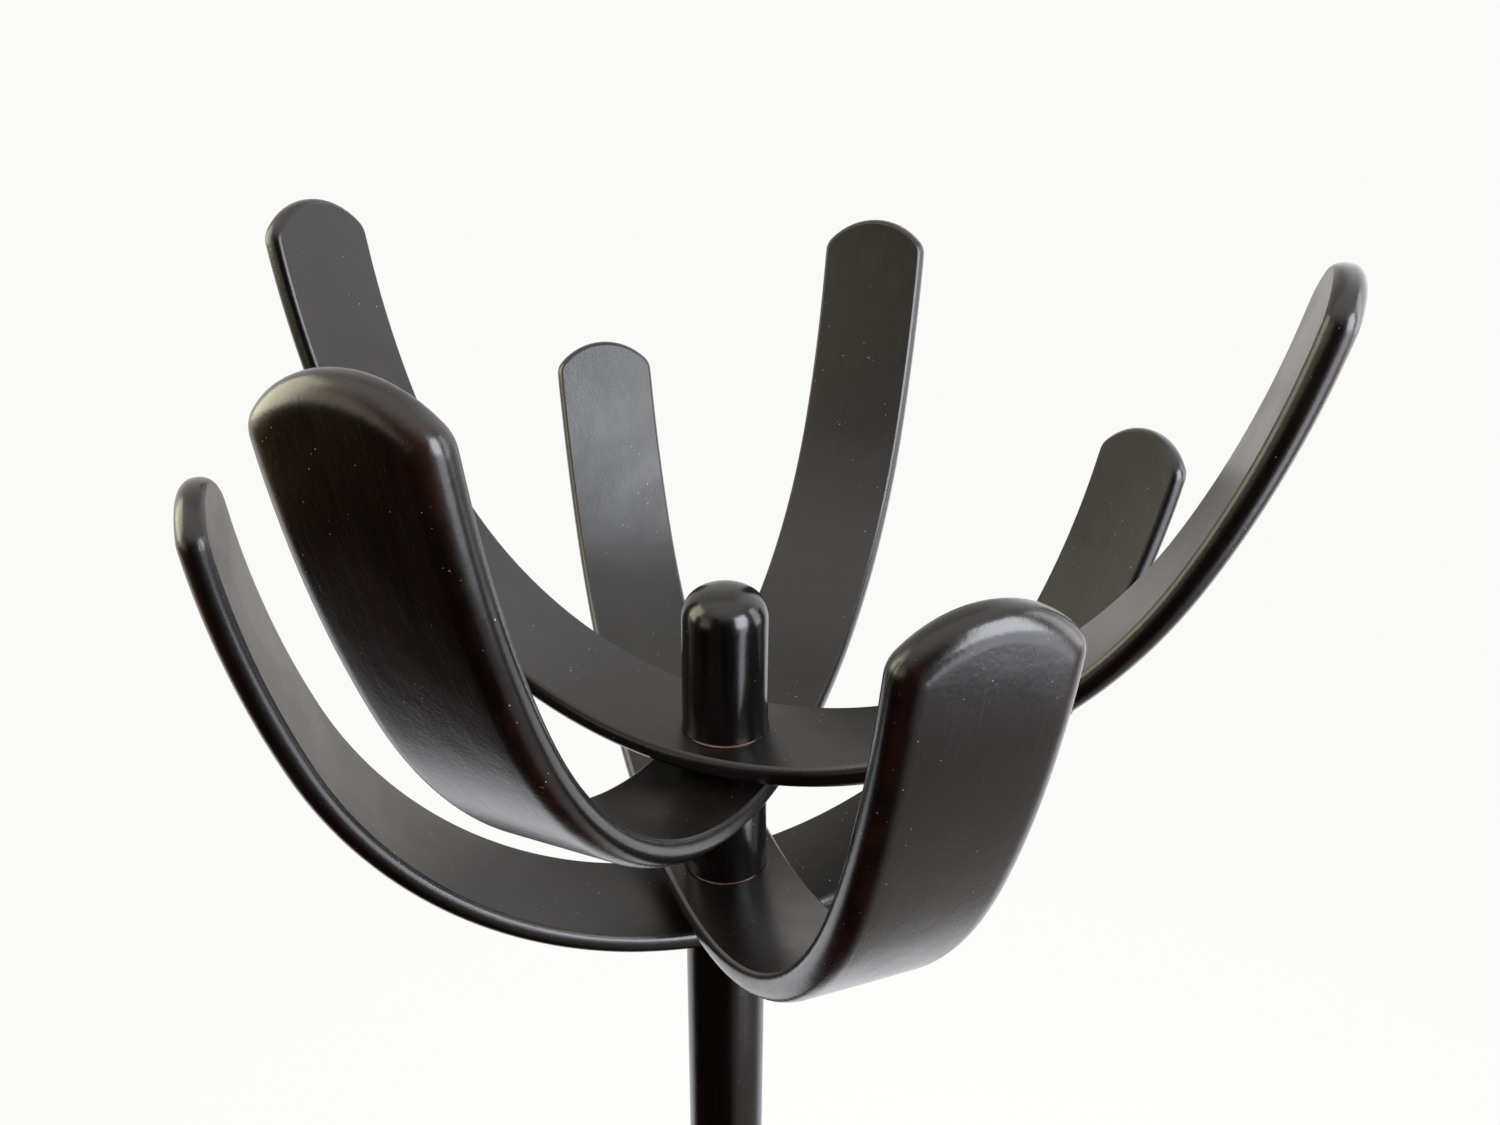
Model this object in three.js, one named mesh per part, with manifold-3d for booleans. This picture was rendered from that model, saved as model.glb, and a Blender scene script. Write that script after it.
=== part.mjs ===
// A free-standing coat stand in dark-stained bent wood, in millimetres, +Z up.
// Four U-shaped bows of laminated strip are threaded on a steel tie rod at the head of a turned pole and
// clamped by a turned finial. Each bow can be swung round the rod once the finial is slackened. Two more
// bows, turned upside down, cross under the pole and stand on rubber pads. The origin is on the floor,
// under the pole's centre line.

import * as THREE from "three";
import { mergeVertices } from "three/addons/utils/BufferGeometryUtils.js";
import Module from "manifold-3d";

const wasm = await Module();
wasm.setup();

// ---------------------------------------------------------------- driving dimensions
const STAND_HEIGHT = 1700; // floor to the tips of the highest bow, at its standard bend
const POLE_DIAMETER = 40;
const WOOD_CHAMFER = 0.8;

const GAP = 0.3; // between faces that touch
const WOOD_CLEARANCE = 0.5; // radial, between a rod or bolt and the wood round it
const METAL_CLEARANCE = 0.15; // radial, between a screw and its insert
const SEAT_CLEARANCE = 0.5; // radial, between a spacer and the seat milled for it

// The laminated strip that all six bows are bent from.
const STRIP_THICKNESS = 11.4;
const STRIP_WIDTH_AT_SEAT = 60;
const STRIP_WIDTH_AT_TIP = 57;
const INNER_EDGE_RADIUS = 2;
const OUTER_EDGE_RADIUS = 4.5;
const TIP_RADIUS = 36; // the shallow arc that ends each arm

// A head bow's inner face: a round bend on both sides of the rod, then arms that curl on gently.
const BEND_RADIUS = 196;
const BEND_ANGLE = 66.5;
const ARM_LENGTH = 111;
const ARM_CURL = 17; // degrees that an arm turns through along its length
const SEAT_DEPTH = 0.3; // of the round seat milled in the inner face, at its shallowest

// The head's bows from the top down. Each has its own direction. Each of its two arms sprang back a little
// differently when it left the former, so openings are degrees added to the bend of the two arms. The
// offset is how far from the strip's middle the rod's hole was drilled.
const HEAD_BOWS = [
  { name: "bow_1", azimuth: -24, openings: [1.6, -1.5], offset: -1 },
  { name: "bow_2", azimuth: 65.8, openings: [0, 1], offset: 2 },
  { name: "bow_3", azimuth: -71, openings: [-4.8, 2.2], offset: -2 },
  { name: "bow_4", azimuth: 18.4, openings: [3.7, -2.6], offset: -2 },
];
const SPACERS = [
  { name: "upper_spacer", length: 4.8 },
  { name: "middle_spacer", length: 51.2 },
  { name: "lower_spacer", length: 6.7 },
];

// The finial and the metalwork of the head.
const FINIAL_HEIGHT = 71.5;
const FINIAL_CROWN_HEIGHT = 17;
const FINIAL_CROWN_POWER = 2.4; // 2 is an ellipse, and more is squarer
const TIE_ROD_DIAMETER = 10;
const TIE_ROD_ENGAGEMENT = 26; // how far the rod goes into the insert at each end
const SCREW_CHAMFER = 1;
const INSERT_DIAMETER = 16;
const INSERT_LENGTH = 28;
const INSERT_FLANGE_DIAMETER = 20;
const INSERT_FLANGE_THICKNESS = 2;
const CLAMP_WASHER_DIAMETER = 30;
const CLAMP_WASHER_THICKNESS = 2.5;

// The foot: two crossing bows, and what fastens them under the pole.
const FOOT_SEAT_HEIGHT = 164; // floor to the top face of the upper foot bow
const FOOT_SEAT_HALF_LENGTH = 32; // the foot bows are flat where they cross
const FOOT_BEND_RADIUS = 230;
const FOOT_BEND_ANGLE = 62;
const FOOT_BOWS = [
  { name: "upper_foot_bow", azimuth: 0, pads: ["foot_pad_1", "foot_pad_3"] },
  { name: "lower_foot_bow", azimuth: 90, pads: ["foot_pad_2", "foot_pad_4"] },
];
const PAD_THICKNESS = 4;
const PAD_LENGTH = 44;
const PAD_MARGIN = 1; // the pad is this much inside the front and back of the foot's end
const BASE_BOLT_DIAMETER = 10;
const BASE_BOLT_ENGAGEMENT = 26;
const BOLT_HEAD_DIAMETER = 17;
const BOLT_HEAD_HEIGHT = 6.5;
const BASE_WASHER_DIAMETER = 26;
const BASE_WASHER_THICKNESS = 2.5;
const DOWEL_DIAMETER = 5;
const DOWEL_DEPTH = 22; // into the pole
const BOSS_HEIGHT = 26;
const BOSS_CROWN_HEIGHT = 10;

// ---------------------------------------------------------------- places worked out from them
const radians = THREE.MathUtils.degToRad;
const POLE_RADIUS = POLE_DIAMETER / 2;
const SEAT_RADIUS = POLE_RADIUS + SEAT_CLEARANCE;
const ROD_HOLE_DIAMETER = TIE_ROD_DIAMETER + 2 * WOOD_CLEARANCE;
const BOLT_HOLE_DIAMETER = BASE_BOLT_DIAMETER + 2 * WOOD_CLEARANCE;
const DOWEL_HOLE_DIAMETER = DOWEL_DIAMETER + 2 * GAP;
const FAR = 4 * STRIP_WIDTH_AT_SEAT; // a length that cutting tools run past the wood

// How far a circle falls away from its tangent at a distance along the tangent.
function sagitta(radius, distance) {
  return radius - Math.sqrt(radius ** 2 - distance ** 2);
}

// The flat milled in a head bow's outer face is as deep as the face curves away across the spacer.
const OUTER_SEAT_DEPTH = sagitta(BEND_RADIUS + STRIP_THICKNESS, SEAT_RADIUS);
const SEAT_THICKNESS = STRIP_THICKNESS - SEAT_DEPTH - OUTER_SEAT_DEPTH;

// How high an arm's tip stands over the lowest line of the bow's inner face.
function headRise() {
  const bend = radians(BEND_ANGLE);
  const tip = radians(BEND_ANGLE + ARM_CURL);
  const curlRadius = ARM_LENGTH / radians(ARM_CURL);
  return BEND_RADIUS * (1 - Math.cos(bend)) + curlRadius * (Math.cos(bend) - Math.cos(tip));
}

// The heights of the seats in the head bows' inner faces, from the top down.
const BOW_SEATS = [STAND_HEIGHT - headRise() - SEAT_DEPTH];
for (const { length } of SPACERS) BOW_SEATS.push(BOW_SEATS.at(-1) - SEAT_THICKNESS - length);
const HEAD_SEAT = BOW_SEATS[0];
const POLE_TOP = BOW_SEATS.at(-1) - SEAT_THICKNESS - GAP;

const POLE_BOTTOM = FOOT_SEAT_HEIGHT + GAP;
const LOWER_FOOT_SEAT_HEIGHT = FOOT_SEAT_HEIGHT - STRIP_THICKNESS - GAP;
const FOOT_SEATS = [FOOT_SEAT_HEIGHT, LOWER_FOOT_SEAT_HEIGHT];
const CROSSING_BOTTOM = LOWER_FOOT_SEAT_HEIGHT - STRIP_THICKNESS;
const BASE_WASHER_TOP = CROSSING_BOTTOM - GAP;
const BOLT_HEAD_TOP = BASE_WASHER_TOP - BASE_WASHER_THICKNESS - GAP;

// The dowels stand midway between the pole's side and the pocket of its insert.
const DOWEL_PLACE = (POLE_RADIUS + INSERT_FLANGE_DIAMETER / 2 + GAP) / 2;
const DOWEL_PLACES = [-DOWEL_PLACE, DOWEL_PLACE];

// ---------------------------------------------------------------- materials
const stain = { color: 0x1c1614, roughness: 0.42, metalness: 0 };
const bowWood = new THREE.MeshStandardMaterial(stain);
const turnedWood = new THREE.MeshStandardMaterial({ ...stain, color: 0x171210 });
const steel = new THREE.MeshStandardMaterial({ color: 0x9a9ca0, roughness: 0.35, metalness: 1 });
const brass = new THREE.MeshStandardMaterial({ color: 0xb08d4a, roughness: 0.4, metalness: 1 });
const beech = new THREE.MeshStandardMaterial({ color: 0xc9a27a, roughness: 0.7, metalness: 0 });
const rubber = new THREE.MeshStandardMaterial({ color: 0x151515, roughness: 0.85, metalness: 0 });

// ---------------------------------------------------------------- solids and turned shapes
// A closed geometry as a solid that can be cut and joined.
function solid(geometry) {
  const bare = geometry.clone();
  bare.deleteAttribute("normal");
  bare.deleteAttribute("uv");
  const merged = mergeVertices(bare, 1e-4);
  return new wasm.Manifold(new wasm.Mesh({
    numProp: 3,
    vertProperties: new Float32Array(merged.attributes.position.array),
    triVerts: new Uint32Array(merged.index.array),
  }));
}

// A named mesh of a solid or a geometry, at a height on the stand's centre line.
function piece(name, shape, material, height = 0) {
  const made = new THREE.Mesh(shape.isBufferGeometry ? shape : geometryOf(shape), material);
  made.name = name;
  made.position.z = height;
  return made;
}

function geometryOf(made) {
  const { vertProperties, triVerts } = made.getMesh();
  const geometry = new THREE.BufferGeometry();
  geometry.setAttribute("position", new THREE.BufferAttribute(new Float32Array(vertProperties), 3));
  geometry.setIndex(new THREE.BufferAttribute(new Uint32Array(triVerts), 1));
  geometry.computeVertexNormals();
  return geometry;
}

// A turned shape from an outline of [radius, height] pairs that starts and ends on the axis, or closes.
function turned(outline, segments = 32) {
  const points = outline.map(([radius, height]) => new THREE.Vector2(radius, height));
  return new THREE.LatheGeometry(points, segments).rotateX(Math.PI / 2);
}

// A rod with chamfered ends between two heights.
function chamferedRod(diameter, low, high, chamfer, segments) {
  const radius = diameter / 2;
  return turned([
    [0, low],
    [radius - chamfer, low],
    [radius, low + chamfer],
    [radius, high - chamfer],
    [radius - chamfer, high],
    [0, high],
  ], segments);
}

// A flat ring between two heights.
function ring(bore, diameter, low, high) {
  const corners = [[bore, low], [diameter, low], [diameter, high], [bore, high], [bore, low]];
  return turned(corners.map(([across, height]) => [across / 2, height]));
}

// A plain upright cylinder between two heights, with its centre line at x.
function cylinder(diameter, low, high, segments = 24, x = 0) {
  const upright = new THREE.CylinderGeometry(diameter / 2, diameter / 2, high - low, segments);
  return upright.rotateX(Math.PI / 2).translate(x, 0, (low + high) / 2);
}

// A domed end's outline, from the side at the crown's foot to the axis at its top.
function crown(foot, height, power, steps = 8) {
  return Array.from({ length: steps + 1 }, (_, i) => {
    const turn = (i / steps) * (Math.PI / 2);
    const radius = i < steps ? POLE_RADIUS * Math.cos(turn) ** (2 / power) : 0;
    return [radius, foot + height * Math.sin(turn) ** (2 / power)];
  });
}

// ---------------------------------------------------------------- the bent strip
// The line that a bow's inner face follows, rising on both sides of the hole. Each side is a flat half
// of the seat, then the bend, then an arm with a gentler curl. Springing back changes a bend's angle and
// leaves its length, so a side's bend has its own radius.
class BowLine {
  constructor({ seat, radius, angle, openings, arms, curl }) {
    this.seat = seat;
    this.bendLength = radius * radians(angle);
    this.bends = openings.map((opening) => radians(angle + opening));
    this.arms = arms;
    this.curl = radians(curl);
    this.sides = arms.map((arm) => seat + this.bendLength + arm);
  }

  // The place and slope at a distance from the hole; the distance is negative on the first side.
  at(distance) {
    const run = Math.abs(distance);
    const side = distance < 0 ? 0 : 1;
    const bend = this.bends[side];
    const radius = this.bendLength / bend;
    const turn = THREE.MathUtils.clamp((run - this.seat) / radius, 0, bend);
    const alongArm = Math.max(run - this.seat - this.bendLength, 0);
    const armTurn = this.curl * (alongArm / this.arms[side]);
    const chord = armTurn > 0 ? (2 * alongArm * Math.sin(armTurn / 2)) / armTurn : alongArm;
    const lean = bend + armTurn / 2;
    return {
      out: Math.min(run, this.seat) + radius * Math.sin(turn) + chord * Math.cos(lean),
      up: radius * (1 - Math.cos(turn)) + chord * Math.sin(lean),
      slope: turn + armTurn,
    };
  }
}

// The strip's section: x across its width, y from the inner face to the outer face.
function stripSection() {
  const half = STRIP_WIDTH_AT_SEAT / 2;
  const inner = INNER_EDGE_RADIUS;
  const outer = OUTER_EDGE_RADIUS;
  const section = new THREE.Shape();
  section.moveTo(-half + inner, 0);
  section.lineTo(half - inner, 0);
  section.lineTo(half, inner);
  section.absarc(half - outer, STRIP_THICKNESS - outer, outer, 0, Math.PI / 2);
  section.absarc(-half + outer, STRIP_THICKNESS - outer, outer, Math.PI / 2, Math.PI);
  section.lineTo(-half, inner);
  return section;
}

// A straight strip, tapered towards its tips and bent so that its inner face follows the line.
function bentStrip(line, steps) {
  const [first, second] = line.sides;
  const strip = new THREE.ExtrudeGeometry(stripSection(), {
    steps, depth: first + second, bevelEnabled: false, curveSegments: 1,
  });
  const points = strip.attributes.position;
  for (let i = 0; i < points.count; i++) {
    const distance = points.getZ(i) - first;
    const side = distance < 0 ? -1 : 1;
    const share = Math.abs(distance) / (side < 0 ? first : second);
    const { out, up, slope } = line.at(distance);
    const depth = points.getY(i);
    const taper = 1 - (1 - STRIP_WIDTH_AT_TIP / STRIP_WIDTH_AT_SEAT) * share;
    points.setXYZ(
      i,
      side * (out + depth * Math.sin(slope)),
      -points.getX(i) * taper,
      up - depth * Math.cos(slope),
    );
  }
  return solid(strip);
}

// What is cut away round an arm's rounded tip, on the first or the second side.
function tipCut(line, side) {
  const half = STRIP_WIDTH_AT_TIP / 2;
  const corner = sagitta(TIP_RADIUS, half);
  const sweep = Math.asin(half / TIP_RADIUS);
  const outline = new THREE.Shape();
  outline.moveTo(-corner, half);
  outline.lineTo(-corner, FAR);
  outline.lineTo(FAR, FAR);
  outline.lineTo(FAR, -FAR);
  outline.lineTo(-corner, -FAR);
  outline.lineTo(-corner, -half);
  outline.absarc(-TIP_RADIUS, 0, TIP_RADIUS, -sweep, sweep);
  const cut = new THREE.ExtrudeGeometry(outline, { depth: 2 * FAR, bevelEnabled: false, curveSegments: 6 });
  const { out, up, slope } = line.at(side < 0 ? -line.sides[0] : line.sides[1]);
  cut.translate(0, 0, -FAR).rotateY(-slope).translate(out, 0, up);
  return solid(side < 0 ? cut.rotateZ(Math.PI) : cut);
}

// ---------------------------------------------------------------- the head
// A head bow, its seats at heights 0 and -SEAT_THICKNESS: round flats milled in the bow's two faces, so
// that the spacers and the finial stand square on it whichever way it is swung.
function headBow({ name, azimuth, openings, offset }, seatHeight) {
  const line = new BowLine({
    seat: 0,
    radius: BEND_RADIUS,
    angle: BEND_ANGLE,
    openings,
    arms: [ARM_LENGTH - offset, ARM_LENGTH + offset],
    curl: ARM_CURL,
  });
  const wood = bentStrip(line, 36)
    .translate([0, 0, SEAT_DEPTH])
    .subtract(tipCut(line, -1).translate([0, 0, SEAT_DEPTH]))
    .subtract(tipCut(line, 1).translate([0, 0, SEAT_DEPTH]))
    .subtract(solid(cylinder(2 * SEAT_RADIUS, 0, FAR, 32)))
    .subtract(solid(cylinder(2 * SEAT_RADIUS, -FAR, -SEAT_THICKNESS, 32)))
    .subtract(solid(cylinder(ROD_HOLE_DIAMETER, -FAR, FAR)));
  const made = piece(name, wood, bowWood, seatHeight);
  made.rotation.z = radians(azimuth);
  return made;
}

// A wooden disc or sleeve that fills the space between two bows.
function spacer({ name, length }, seatBelow) {
  const body = solid(chamferedRod(POLE_DIAMETER, GAP, length - GAP, WOOD_CHAMFER));
  const bored = body.subtract(solid(cylinder(ROD_HOLE_DIAMETER, -FAR, FAR)));
  return piece(name, bored, turnedWood, seatBelow);
}

// A threaded brass insert, its flanged mouth upwards at height 0.
function insert() {
  const bore = TIE_ROD_DIAMETER / 2 + METAL_CLEARANCE;
  return turned([
    [bore, -INSERT_LENGTH],
    [INSERT_DIAMETER / 2, -INSERT_LENGTH],
    [INSERT_DIAMETER / 2, -INSERT_FLANGE_THICKNESS],
    [INSERT_FLANGE_DIAMETER / 2, -INSERT_FLANGE_THICKNESS],
    [INSERT_FLANGE_DIAMETER / 2, 0],
    [bore, 0],
    [bore, -INSERT_LENGTH],
  ], 24);
}

// What is cut from the wood for an insert, its mouth upwards at height 0.
function insertPocket() {
  return solid(cylinder(INSERT_DIAMETER + 2 * GAP, -INSERT_LENGTH - GAP, FAR))
    .add(solid(cylinder(INSERT_FLANGE_DIAMETER + 2 * GAP, -INSERT_FLANGE_THICKNESS - GAP, FAR)));
}

// The finial, standing at height 0. The clamp washer lies in a recess in its foot, and its insert is let
// into the recess's end.
const WASHER_RECESS_DEPTH = CLAMP_WASHER_THICKNESS + GAP;

function finial() {
  const body = solid(turned([
    [0, GAP],
    [POLE_RADIUS - WOOD_CHAMFER, GAP],
    [POLE_RADIUS, GAP + WOOD_CHAMFER],
    ...crown(FINIAL_HEIGHT - FINIAL_CROWN_HEIGHT, FINIAL_CROWN_HEIGHT, FINIAL_CROWN_POWER),
  ]));
  const recess = solid(cylinder(CLAMP_WASHER_DIAMETER + 2 * GAP, -FAR, WASHER_RECESS_DEPTH, 32));
  const pocket = insertPocket().rotate([180, 0, 0]).translate([0, 0, WASHER_RECESS_DEPTH]);
  return piece("finial", body.subtract(recess).subtract(pocket), turnedWood, HEAD_SEAT);
}

function finialInsert() {
  const upsideDown = insert().rotateX(Math.PI);
  return piece("finial_insert", upsideDown, brass, HEAD_SEAT + WASHER_RECESS_DEPTH);
}

function clampWasher() {
  const washer = ring(ROD_HOLE_DIAMETER, CLAMP_WASHER_DIAMETER, GAP, CLAMP_WASHER_THICKNESS);
  return piece("clamp_washer", washer, steel, HEAD_SEAT);
}

function tieRod() {
  const low = POLE_TOP - TIE_ROD_ENGAGEMENT;
  const high = HEAD_SEAT + WASHER_RECESS_DEPTH + TIE_ROD_ENGAGEMENT;
  return piece("tie_rod", chamferedRod(TIE_ROD_DIAMETER, low, high, SCREW_CHAMFER, 20), steel);
}

// ---------------------------------------------------------------- the pole
function dowelHoles(low, high) {
  const holes = DOWEL_PLACES.map((x) => solid(cylinder(DOWEL_HOLE_DIAMETER, low, high, 16, x)));
  return holes[0].add(holes[1]);
}

function pole() {
  const body = solid(chamferedRod(POLE_DIAMETER, POLE_BOTTOM, POLE_TOP, WOOD_CHAMFER, 40))
    .subtract(insertPocket().translate([0, 0, POLE_TOP]))
    .subtract(insertPocket().rotate([180, 0, 0]).translate([0, 0, POLE_BOTTOM]))
    .subtract(dowelHoles(POLE_BOTTOM - FAR, POLE_BOTTOM + DOWEL_DEPTH + GAP));
  return piece("pole", body, turnedWood);
}

// ---------------------------------------------------------------- the foot
// How far down a leg reaches below the bend, from the seat's outer face to the top of the pad.
function legDrop(seatHeight) {
  const bend = FOOT_BEND_RADIUS * (1 - Math.cos(radians(FOOT_BEND_ANGLE)));
  return seatHeight - STRIP_THICKNESS - bend - PAD_THICKNESS - GAP;
}

// A foot bow stands upside down, its legs cut level over the pads.
function footBow({ name, azimuth }, seatHeight) {
  const arm = (legDrop(seatHeight) + STRIP_THICKNESS) / Math.sin(radians(FOOT_BEND_ANGLE));
  const line = new BowLine({
    seat: FOOT_SEAT_HALF_LENGTH,
    radius: FOOT_BEND_RADIUS,
    angle: FOOT_BEND_ANGLE,
    openings: [0, 0],
    arms: [arm, arm],
    curl: 0,
  });
  const upsideDown = bentStrip(line, 28)
    .subtract(solid(cylinder(BOLT_HOLE_DIAMETER, -FAR, FAR)))
    .rotate([180, 0, azimuth])
    .translate([0, 0, seatHeight - STRIP_THICKNESS]);
  const sole = PAD_THICKNESS + GAP;
  const belowSole = new THREE.BoxGeometry(4 * FAR, 4 * FAR, FAR).translate(0, 0, sole - FAR / 2);
  const wood = upsideDown.subtract(solid(belowSole)).subtract(dowelHoles(0, FAR));
  return piece(name, wood, bowWood);
}

// The rubber pads under a foot bow's two ends.
function footPads({ azimuth, pads }, seatHeight) {
  const angle = radians(FOOT_BEND_ANGLE);
  const innerEdge = FOOT_SEAT_HALF_LENGTH + FOOT_BEND_RADIUS * Math.sin(angle)
    + legDrop(seatHeight) / Math.tan(angle);
  const soleDepth = STRIP_THICKNESS / Math.sin(angle);
  return pads.map((name, i) => {
    const pad = new THREE.BoxGeometry(soleDepth - 2 * PAD_MARGIN, PAD_LENGTH, PAD_THICKNESS);
    pad.translate(innerEdge + soleDepth / 2, 0, PAD_THICKNESS / 2);
    const made = piece(name, pad, rubber);
    made.rotation.z = radians(azimuth + 180 * i);
    return made;
  });
}

// The dowels keep the foot bows from turning under the pole.
function dowels() {
  const low = CROSSING_BOTTOM + GAP;
  const high = POLE_BOTTOM + DOWEL_DEPTH;
  return DOWEL_PLACES.map((x, i) =>
    piece(`dowel_${i + 1}`, cylinder(DOWEL_DIAMETER, low, high, 16, x), beech));
}

function baseBolt() {
  const headBottom = BOLT_HEAD_TOP - BOLT_HEAD_HEIGHT;
  const top = POLE_BOTTOM + BASE_BOLT_ENGAGEMENT;
  const shank = solid(chamferedRod(BASE_BOLT_DIAMETER, headBottom, top, SCREW_CHAMFER, 20));
  const head = solid(cylinder(BOLT_HEAD_DIAMETER, headBottom, BOLT_HEAD_TOP, 6));
  return piece("base_bolt", shank.add(head), steel);
}

function baseWasher() {
  const washer = ring(BOLT_HOLE_DIAMETER, BASE_WASHER_DIAMETER, BOLT_HEAD_TOP + GAP, BASE_WASHER_TOP);
  return piece("base_washer", washer, steel);
}

// A turned boss glued under the crossing, over the bolt's head.
function baseBoss() {
  const top = CROSSING_BOTTOM - GAP;
  const crownFoot = BOSS_HEIGHT - BOSS_CROWN_HEIGHT;
  const body = solid(turned([
    [0, 0],
    [POLE_RADIUS - WOOD_CHAMFER, 0],
    [POLE_RADIUS, WOOD_CHAMFER],
    ...crown(crownFoot, BOSS_CROWN_HEIGHT, FINIAL_CROWN_POWER),
  ]));
  const recessDepth = top - BOLT_HEAD_TOP + BOLT_HEAD_HEIGHT + GAP;
  const recess = solid(cylinder(BASE_WASHER_DIAMETER + 2 * GAP, -FAR, recessDepth, 32));
  return piece("base_boss", body.subtract(recess).rotate([180, 0, 0]), turnedWood, top);
}

// ---------------------------------------------------------------- the assembly
const stand = new THREE.Group();
stand.add(pole(), tieRod());
stand.add(piece("pole_top_insert", insert(), brass, POLE_TOP));
stand.add(piece("pole_bottom_insert", insert().rotateX(Math.PI), brass, POLE_BOTTOM));
HEAD_BOWS.forEach((bow, i) => stand.add(headBow(bow, BOW_SEATS[i])));
SPACERS.forEach((disc, i) => stand.add(spacer(disc, BOW_SEATS[i + 1])));
stand.add(clampWasher(), finial(), finialInsert());
FOOT_BOWS.forEach((bow, i) => stand.add(footBow(bow, FOOT_SEATS[i]), ...footPads(bow, FOOT_SEATS[i])));
stand.add(...dowels(), baseBolt(), baseWasher(), baseBoss());

export default stand;
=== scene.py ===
import math

import bmesh
import bpy
from mathutils import Euler, Matrix, Vector


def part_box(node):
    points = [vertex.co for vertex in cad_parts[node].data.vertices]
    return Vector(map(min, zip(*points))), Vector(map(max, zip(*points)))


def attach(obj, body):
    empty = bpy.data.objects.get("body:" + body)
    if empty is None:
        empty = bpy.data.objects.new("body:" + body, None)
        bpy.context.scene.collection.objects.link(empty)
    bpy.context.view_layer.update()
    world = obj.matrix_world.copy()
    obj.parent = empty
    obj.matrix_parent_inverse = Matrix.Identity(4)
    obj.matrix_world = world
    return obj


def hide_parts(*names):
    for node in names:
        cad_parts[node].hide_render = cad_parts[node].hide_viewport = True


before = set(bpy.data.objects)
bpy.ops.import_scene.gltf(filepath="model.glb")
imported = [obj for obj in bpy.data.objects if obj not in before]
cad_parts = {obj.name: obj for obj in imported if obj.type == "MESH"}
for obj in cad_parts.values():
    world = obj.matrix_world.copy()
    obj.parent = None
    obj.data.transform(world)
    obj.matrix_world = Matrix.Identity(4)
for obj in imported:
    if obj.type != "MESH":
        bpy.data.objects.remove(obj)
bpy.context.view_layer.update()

# ------------------------------------------------------------------ The studio
# A camera held at a standing person's eye level, a little over the head of the stand and looking down
# on it. The stand is on a pale seamless floor in a white room with a tall window on the right, a smaller
# one beside it, and a window on to trees on the left.
scene = bpy.context.scene
scene.view_settings.view_transform = "Standard"

HEAD_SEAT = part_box("finial")[0][2]
CAMERA_DISTANCE = 0.4293
CAMERA_RISE = 0.2557
CAMERA_PITCH = math.radians(21.98)
CAMERA_YAW = math.radians(1.47)
CAMERA_ROLL = math.radians(0.435)
CAMERA_FOCAL_LENGTH = 25.28
SENSOR_WIDTH = 36
NEAREST_SEEN = 0.01

camera_data = bpy.data.cameras.new("camera")
camera_data.lens = CAMERA_FOCAL_LENGTH
camera_data.sensor_width = SENSOR_WIDTH
camera_data.clip_start = NEAREST_SEEN
camera = bpy.data.objects.new("camera", camera_data)
level = Euler((math.pi / 2 - CAMERA_PITCH, 0, -CAMERA_YAW)).to_matrix()
looking = level @ Matrix.Rotation(CAMERA_ROLL, 3, "Z")
eye = Matrix.Translation((0, -CAMERA_DISTANCE, HEAD_SEAT + CAMERA_RISE))
camera.matrix_world = eye @ looking.to_4x4()
scene.collection.objects.link(camera)
scene.camera = camera


def window(name, azimuth, distance, width, sill, head, radiance, colour):
    """An upright pane of light turned to the stand. Azimuth 0 is behind the camera, 90 is to its right."""
    around = math.radians(azimuth)
    away = Vector((math.sin(around), -math.cos(around), 0))
    data = bpy.data.lights.new(name, "AREA")
    data.shape = "RECTANGLE"
    data.size = width
    data.size_y = head - sill
    data.energy = radiance * math.pi * width * (head - sill)
    data.color = colour
    light = bpy.data.objects.new(name, data)
    light.location = away * distance + Vector((0, 0, (sill + head) / 2))
    light.rotation_euler = (-away).to_track_quat("-Z", "Y").to_euler()
    scene.collection.objects.link(light)


WINDOWS = (
    # name, azimuth, distance, width, height of the sill, of the head, radiance, colour
    ("tall_window", 47, 2.4, 1.6, 1.42, 3.3, 13, (0.91, 0.94, 1.0)),
    ("tall_window_sill", 54, 2.4, 1.5, 0.02, 1.42, 4.4, (0.86, 0.88, 1.0)),
    ("side_window", 90, 2.4, 0.9, 1.1, 3.3, 4.6, (0.98, 0.98, 1.0)),
    ("garden_window", -94, 1.6, 1.2, 1.6, 3.0, 4.5, (1.0, 0.95, 0.66)),
    ("garden_window_sill", -94, 1.6, 1.15, 0.75, 1.55, 0.3, (1.0, 0.7, 0.35)),
)
for pane in WINDOWS:
    window(*pane)


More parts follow.
